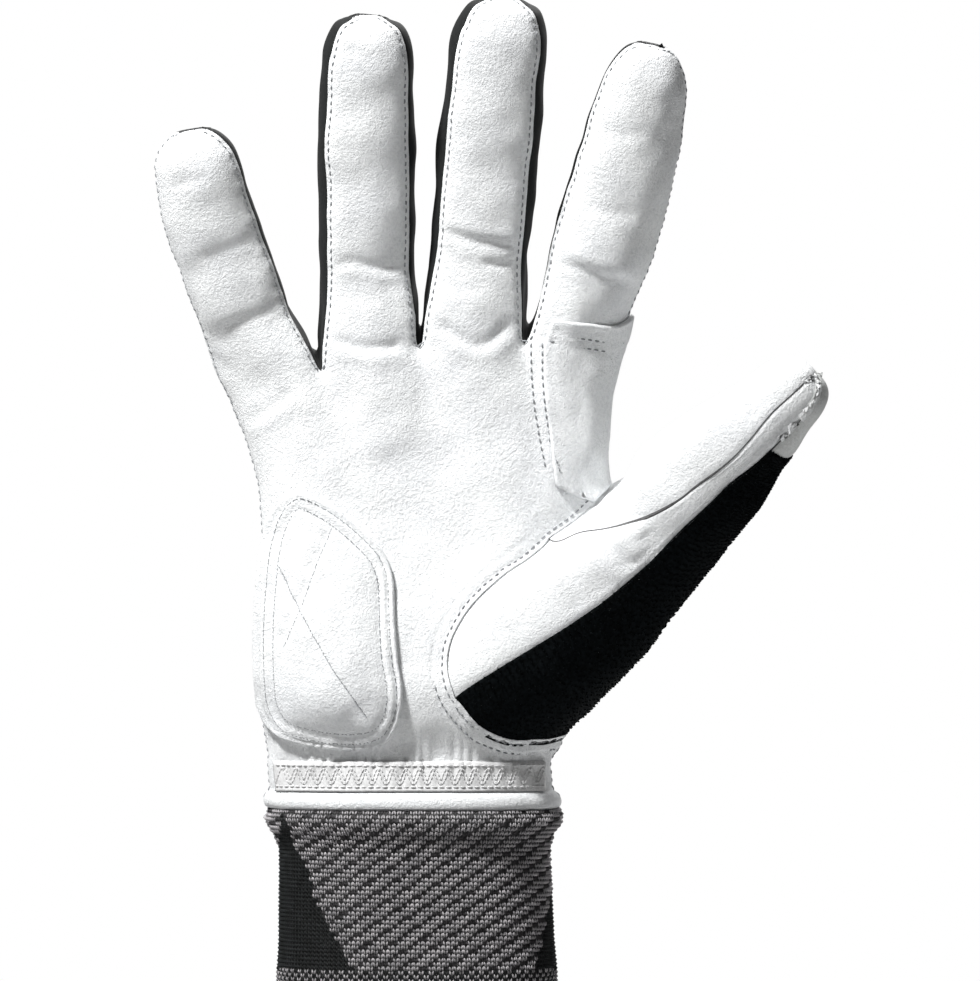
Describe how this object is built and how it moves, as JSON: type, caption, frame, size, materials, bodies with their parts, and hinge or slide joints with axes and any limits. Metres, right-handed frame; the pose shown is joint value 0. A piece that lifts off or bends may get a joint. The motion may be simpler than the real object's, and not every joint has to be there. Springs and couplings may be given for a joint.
{
  "type": "cross-country ski glove",
  "caption": "Right-hand cross-country ski glove in its worn shape, with a white suede palm, black softshell back, terry thumb back and a ribbed knit cuff.",
  "frame": {"origin": "centre of the cuff's mouth, in the plane of its lower edge", "axes": "+Z from the cuff's mouth towards the fingertips, -Y the way the palm faces, +X towards the thumb"},
  "size_m": [0.1694, 0.0703, 0.2533],
  "materials": {
    "white_leather": "napped microfibre suede",
    "black_shell": "smooth woven softshell",
    "black_gusset": "stretch knit",
    "black_terry": "looped terry pile",
    "white_elastic": "woven elastic tape",
    "grey_knit": "diagonal rib knit"
  },
  "bodies": {
    "root": {"palm_panel": "white_leather", "back_panel": "black_shell", "gusset_little_ring": "black_gusset", "gusset_ring_middle": "black_gusset", "gusset_middle_index": "black_gusset", "thumb_pad_panel": "white_leather", "thumb_side_panel": "white_leather", "thumb_terry_back": "black_terry", "thumb_tip_patch": "white_leather", "wrist_elastic": "white_elastic", "heel_pad": "white_leather", "index_patch": "white_leather", "knit_cuff": "grey_knit"}
  },
  "joints": []
}
